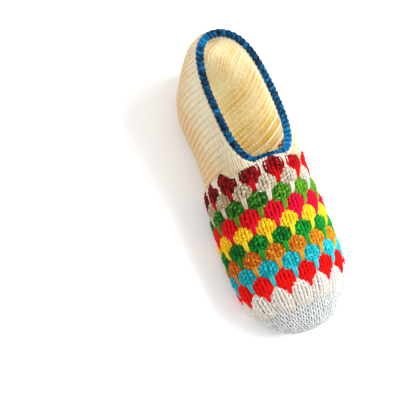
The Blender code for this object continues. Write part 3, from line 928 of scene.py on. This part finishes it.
def heel_skin(x, side, height, inside):
    """Points and facing directions on the heel part's outside or lining, never past its rim."""
    side = np.clip(side, -RIM_SHARE, RIM_SHARE)
    if inside:
        fade = np.clip(np.minimum(x, VAMP_BACK - x) / SLANT_FADE, 0, 1)
        x = x - SLANT_REACH * fade * np.sin(math.pi / 2 * np.clip(SLANT_STEEPNESS * side, -1, 1))
        points, normals = on_skin(x, side, -WALL - height, floor=WALL)
        return points, -normals
    return on_skin(x, side, height, floor=HEEL_FLOOR)


def build_heel(inside):
    """Rows of tall stitches, to and fro: posts along the foot, and a chain where two rows meet."""
    knit = Knit("heel_lining" if inside else "heel_stitches")
    for row in range(ROWS):
        side, width = row_places(row)
        add_row_posts(knit, row, side, width, inside)
        if row > 0:
            add_chain(knit, row, side, width, inside)
    if inside:
        return knit.finish(yarn_material("cream_lining_yarn", LINING_DARK, LINING_LIGHT))
    add_rim(knit)
    return knit.finish(yarn_material("cream_yarn_outside", CREAM_DARK, CREAM_LIGHT))


def row_tone(row, inside):
    """Lightness of a row's yarn: golden toward the throat inside; outside, palest at the sides' middle, with
    painted shade darkening the back rows.
    """
    share = (row + 0.5) / ROWS
    if inside:
        return LINING_TONE - LINING_TONE_FALL * share + RNG.normal(0, 0.12)
    back = max(BACK_END - share, 0.0) / BACK_END
    front = max(share - FRONT_START, 0.0) / (1 - FRONT_START)
    return SIDE_TONE - BACK_PAINTED_SHADE * back - FRONT_TONE_FALL * front + RNG.normal(0, 0.04)


def painted_rim_light_and_sole_shade(side):
    """Painted light that the outside gains toward the rim, and painted shade that it gets toward the sole."""
    return RIM_TONE_RISE * (np.abs(side) - RIM_TONE_SHARE)


def blotches(row, side):
    """Lightness of the broad, slanted patches inside."""
    return 0.35 * np.sin(0.55 * row + 6 * side) * np.sin(9 * side - 0.3 * row)


def add_row_posts(knit, row, side, width, inside):
    """One row's posts, each of two strands side by side; the last row's run on below the first clusters."""
    q = np.linspace(0, 1, 5)
    reach = ROW_REACH if row < ROWS - 1 else LAST_ROW_REACH
    x = row_x(row + ROW_START + reach * q)
    tones = row_tone(row, inside) + RNG.uniform(-0.15, 0.15, len(side))
    tones = tones + (blotches(row, side) if inside else painted_rim_light_and_sole_shade(side))
    for leg in (-1, 1):
        lean = leg * 0.23 + 0.10 * np.sin(math.pi * (q - 0.5))
        stray = RNG.normal(0, 0.06, (len(side), 1))
        height = (bulge(q, ends=0.25, more=0.45, power=0.5) + stray) * MM
        points, facing = row_lines(row, x, side[:, None] + width * lean, height, inside)
        knit.add(points, facing, YARN * bulge(q, ends=0.70, more=0.20, power=0.5), tones, sides=4)


def add_chain(knit, row, side, width, inside):
    """The chain of loops along the ridge where a row meets the next."""
    bar = np.linspace(-0.60, 0.60, 4)
    x = row_x(row + 0.01 + 0.05 * np.sin(math.pi * (bar / 1.2 + 0.5)))
    height = (0.45 + 0.45 * np.cos(bar * math.pi / 1.2)) * MM
    points, facing = row_lines(row, x, side[:, None] + bar * width, height, inside)
    tones = row_tone(row, inside) + RNG.uniform(-0.1, 0.2, len(side))
    if not inside:
        tones = tones + painted_rim_light_and_sole_shade(side)
    knit.add(points, facing, YARN * 0.45, tones, sides=4)


def add_rim(knit):
    """Short strands bent over the wall's upper edge, below the edging."""
    x = row_x(np.linspace(0.15, ROWS - 0.1, RIM_STRANDS))
    for hand in (-1, 1):
        edge, normals = on_skin(x, hand * RIM_TOP, 0.0)
        lower, _ = on_skin(x, hand * RIM_BELOW, 0.0)
        past = unit(edge - lower)
        lines = np.stack([edge + past * up + normals * out for up, out in RIM_BENDS], axis=1)
        ups = np.stack([normals, normals, past, past, past, -normals, -normals], axis=1)
        knit.add(lines, ups, YARN * 0.95, 0.45 + RNG.normal(0, 0.12, RIM_STRANDS), sides=5)


def build_back_seam():
    """Slanted stitches that close the heel part at its back, outside and inside."""
    knit = Knit("back_seam")
    q = np.linspace(-1, 1, 9)
    bend = np.cos(math.pi / 2 * q)
    for stitches, end, reach, low, more, facing in SEAM_FACES:
        for share in np.linspace(SEAM_START, end, stitches):
            side = np.where(q < 0, -1, 1) * (share + SEAM_SLANT * q)
            x = reach * np.abs(q) ** 1.5
            points, normals = on_skin(x, side, low + more * bend, floor=HEEL_FLOOR)
            radii = YARN * (0.50 + 0.25 * bend)
            # lighter up the seam: painted light toward the rim, painted shade toward the sole
            tones = [0.15 + 0.5 * share + RNG.normal(0, 0.1)]
            knit.add(points[None], facing * normals[None], radii, tones)
    return knit.finish(yarn_material("seam_yarn", CREAM_DARK, CREAM_LIGHT))


def build_eyelets():
    """Pale strands beside the chain of each row, seen inside: painted light where light shows through small
    gaps in the wall.
    """
    knit = Knit("lining_eyelets")
    q = np.linspace(0, 1, 5)
    swelling = np.sin(math.pi * (0.06 + 0.88 * q))
    for row in range(1, ROWS):
        stitches, _ = row_places(row)
        side = np.linspace(stitches[0], stitches[-1], round(EYELETS_PER_STITCH * len(stitches)))
        x = row_x(row + EYELET_PLACE + EYELET_LENGTH * (q - 0.5))
        points, facing = row_lines(row, x, side[:, None], EYELET_HEIGHT, inside=True)
        radii = YARN * 1.05 * RNG.uniform(0.55, 1.15, (len(side), 1)) * swelling
        # the painted light is stronger toward the rim and weaker toward the throat
        tones = 0.60 + 0.4 * np.abs(side) - 0.3 * row / ROWS + RNG.uniform(-0.3, 0.3, len(side))
        knit.add(points, facing, radii, tones, sides=4)
    return knit.finish(yarn_material("eyelet_painted_light", EYELET_DARK, EYELET_LIGHT, ply=False))


def edge_loop():
    """The edging's centre line: along the rim on both sides, and across the throat."""
    off = EDGING_RADIUS + EDGING_SEAT
    curved = HEEL_RADIUS * EDGE_CURVED_SHARE
    turn = np.linspace(0, math.pi / 2, EDGE_CURVED_STEPS, endpoint=False)
    x = np.concatenate([curved * (1 - np.cos(turn)), np.arange(curved, VAMP_BACK, EDGE_STEP)])
    edge, normals = on_skin(x, EDGE_TOP, 0.0)
    lower, _ = on_skin(x, EDGE_BELOW, 0.0)
    along = np.gradient(edge, axis=0)
    along[0] = (0.0, 1.0, 0.0)
    past = unit(np.cross(normals, along))
    past *= np.sign((past * (edge - lower)).sum(axis=1))[:, None]
    side = edge - normals * WALL / 2 + past * off
    side[0, 1] = 0.0
    side = side[side[:, 0] < VAMP_BACK - off]
    y = collar_edge(VAMP_BACK)[0] * np.linspace(1, 0, EDGE_FRONT_STEPS)[1:]
    rim = half_outline(COLLAR_FRONT)[CURVE_POINTS:]
    z = np.interp(-y, -rim[:, 1], rim[:, 2]) - WALL / 2
    front = np.stack([np.full(len(y), VAMP_BACK - off), y, z], axis=1)
    left = np.concatenate([side, front])
    right = (left[1:-1] * np.array([1, -1, 1]))[::-1]
    loop = even_loop(np.concatenate([left, right]), EDGE_POINTS)
    for _ in range(EDGE_SMOOTHINGS):
        loop = (np.roll(loop, 1, axis=0) + 2 * loop + np.roll(loop, -1, axis=0)) / 4
    return loop


def closed_line(loop):
    """A loop with its first point again at its end, and the distance along it at each point."""
    closed = np.concatenate([loop, loop[:1]])
    return closed, arc_marks(closed)


def even_loop(points, count):
    """A closed line as evenly spaced points."""
    closed, arc = closed_line(points)
    return points_at(np.linspace(0, arc[-1], count, endpoint=False), arc, closed)


class CordLine:
    """The edging's line, with its directions at any distance along it."""

    def __init__(self):
        loop = edge_loop()
        self.closed, self.arc = closed_line(loop)
        self.length = self.arc[-1]
        self.middle = loop.mean(axis=0)

    def centre(self, marks):
        """Points at distances along the line, which starts again at its end."""
        return points_at(np.mod(marks, self.length), self.arc, self.closed)

    def frame(self, marks):
        """Centre, outward and upward directions at distances along the line."""
        centre = self.centre(marks)
        tangent = unit(self.centre(marks + EDGE_STEP) - centre)
        outward = centre - self.middle
        outward[..., 2] = 0.0
        outward = unit(outward - tangent * (outward * tangent).sum(axis=-1, keepdims=True))
        upward = np.cross(tangent, outward)
        upward *= np.sign(upward[..., 2:3])
        return centre, outward, upward

    def round_it(self, marks, degrees, radius):
        """Lines round the cord, and their directions away from its centre."""
        centre, outward, upward = self.frame(marks)
        angle = np.radians(degrees)[..., None]
        direction = np.cos(angle) * outward + np.sin(angle) * upward
        return centre + radius[..., None] * direction, direction


def build_edging():
    """Rope-like edging: slanted stitches over a core, each of three bent strands and three short turns."""
    route = CordLine()
    knit = Knit("edging_cord")
    stitches = round(route.length / EDGING_STITCH)
    pitch = route.length / stitches
    start = np.arange(stitches)[:, None] * pitch
    tones = edging_tones(route.centre(start[:, 0])) + 0.70 * RNG.random(stitches) ** 4
    start = start + RNG.normal(0, 0.05, start.shape) * pitch
    lump = RNG.uniform(*EDGING_LUMPS, start.shape)
    q = np.linspace(0, 1, 13)
    for strand in (-1, 0, 1):
        marks = start + (0.95 * q + bulge(q, 0.0, strand * 0.31, 0.5)) * pitch
        swell = (0.50 - 0.30 * abs(strand)) * lump * bulge(q, 0.0, MM, 0.8)
        lines, away = route.round_it(marks, EDGING_START_ANGLE + EDGING_TURN * q, EDGING_RING + swell)
        shade = shades(tones + 0.10 * strand - 0.05, 0.22, stitches)
        knit.add(lines, away, YARN * bulge(q, ends=0.42, more=0.18), shade)
    q = np.linspace(0, 1, 7)
    for low, high in EDGING_WRAPS:
        degrees = low + (high - low) * q + RNG.normal(0, 5, start.shape)
        swell = bulge(q, ends=0.35, more=0.55) * MM * np.ones(start.shape)
        lines, away = route.round_it(start + (1.10 - 0.75 * q) * pitch, degrees, EDGING_RING + swell)
        knit.add(lines, away, YARN * bulge(q, ends=0.38, more=0.25), shades(tones + 0.15, 0.3, stitches))
    core, _, upward = route.frame(np.linspace(0, route.length, EDGING_CORE_POINTS)[None, :])
    knit.add(core, upward, EDGING_CORE, [0.0], sides=8)
    cord = knit.finish(yarn_material("blue_yarn", BLUE_DARK, BLUE_LIGHT, sheen=FIRM_SHEEN))
    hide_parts("collar_edging")
    return cord


def edging_tones(points):
    """Lightness of the edging's yarn: painted highlights at the throat's left corner and at the back's right
    one.
    """
    tones = np.full(len(points), EDGING_TONE)
    for along, across, reach in EDGING_PAINTED_HIGHLIGHTS:
        x = points[:, 0] / VAMP_BACK - along
        y = points[:, 1] / COLLAR_HALF_WIDTH - across
        tones = tones + EDGING_PAINTED_HIGHLIGHT * np.exp(-(x**2 + (0.5 * y) ** 2) / reach**2)
    return tones


def dress_nodes():
    """Gives the walls under the stitches the yarn's colour in painted shade, for the depth between the
    strands.
    """
    grounds = {
        "toe_cap": yarn_material("white_ground_painted_shade", *WHITE_GROUND_PAINTED_SHADE, ply=False),
        "bobble_vamp": rounds_ground_painted_shade(),
        "heel_part": yarn_material("cream_ground_painted_shade", *CREAM_GROUND_PAINTED_SHADE, ply=False),
    }
    for name, material in grounds.items():
        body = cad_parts[name]
        body.data.materials.clear()
        body.data.materials.append(material)


def rounds_ground_painted_shade():
    """The wall below the clusters in painted shade: each round in a dark tone of its own yarn, by its place
    along the foot.
    """
    material = yarn_material("rounds_ground_painted_shade", *ROUNDS_GROUND_PAINTED_SHADE, ply=False)
    tree = material.node_tree
    split = add_node(tree, "SeparateXYZ", {"Vector": tree.nodes["Texture Coordinate"].outputs["Object"]})
    ends = {"Value": split.outputs["X"], "From Min": VAMP_BACK - MIDDLE, "From Max": VAMP_FRONT - MIDDLE}
    share = add_node(tree, "MapRange", ends)
    bands = add_node(tree, "ValToRGB", {"Fac": share.outputs["Result"]})
    bands.color_ramp.interpolation = "CONSTANT"
    while len(bands.color_ramp.elements) < ROUNDS:
        bands.color_ramp.elements.new(0.5)
    for index, (_, _, dark, _) in enumerate(ROUND_YARNS):
        band = bands.color_ramp.elements[index]
        band.position = index / ROUNDS
        band.color = (*CREAM_DARK, 1) if index == 0 else (*[GROUND_SHADE * value for value in dark], 1)
    feed(tree, tree.nodes["Principled BSDF"], {"Base Color": bands.outputs["Color"]})
    return material


def build_stage():
    """Plain pale floor and soft studio light."""
    mesh = bpy.data.meshes.new("floor")
    corners = [(-1, -1), (1, -1), (1, 1), (-1, 1)]
    mesh.from_pydata([(x * FLOOR_REACH, y * FLOOR_REACH, 0) for x, y in corners], [], [(0, 1, 2, 3)])
    material = bpy.data.materials.new("floor_paint")
    material.use_nodes = True
    paint = {"Base Color": FLOOR_COLOUR, "Roughness": FLOOR_ROUGHNESS, "Specular IOR Level": FLOOR_SPECULAR}
    feed(material.node_tree, material.node_tree.nodes["Principled BSDF"], paint)
    mesh.materials.append(material)
    floor = bpy.data.objects.new("floor", mesh)
    bpy.context.scene.collection.objects.link(floor)
    world = bpy.data.worlds.new("studio")
    world.use_nodes = True
    sky = {"Color": (1.0, 1.0, 1.0, 1), "Strength": WORLD_STRENGTH}
    feed(world.node_tree, world.node_tree.nodes["Background"], sky)
    bpy.context.scene.world = world
    for light in LIGHTS:
        add_light(*light)
    add_glow()
    bpy.context.scene.view_settings.view_transform = "Standard"


def add_glow():
    """Soft light that the loosely crocheted wall lets through to its inside."""
    glow = add_light(*GLOW)
    glow.data.shape = "RECTANGLE"
    glow.data.size_y = GLOW_HEIGHT
    glow.data.color = GLOW_COLOUR
    glow.visible_camera = False


def aim(item, target, hint=(0.0, 0.0, 1.0)):
    """Turns a light or camera so that it looks at a point, with a direction that points up in its view."""
    look = (Vector(target) - item.location).normalized()
    right = look.cross(Vector(hint)).normalized()
    up = right.cross(look)
    item.rotation_euler = Matrix((right, up, -look)).transposed().to_euler()


def add_light(name, where, target, size, power):
    """A square soft light."""
    data = bpy.data.lights.new(name, "AREA")
    data.size = size
    data.energy = power
    item = bpy.data.objects.new(name, data)
    item.location = where
    bpy.context.scene.collection.objects.link(item)
    aim(item, target)
    return item


def build_camera():
    """The photograph's view: close above, from the wearer's right, with the toe toward the lower right."""
    data = bpy.data.cameras.new("camera")
    data.sensor_width = SENSOR
    data.lens = LENS
    item = bpy.data.objects.new("camera", data)
    item.location = CAMERA_PLACE
    bpy.context.scene.collection.objects.link(item)
    aim(item, CAMERA_TARGET, CAMERA_TOP)
    bpy.context.scene.camera = item


def main():
    """The stage, then every piece from the throat's first round to the edging."""
    build_camera()
    build_stage()
    dress_nodes()
    for index in range(ROUNDS):
        build_round(index)
    build_throat_teeth()
    build_toe_cap()
    build_heel(inside=False)
    build_heel(inside=True)
    build_eyelets()
    build_back_seam()
    build_edging()


main()
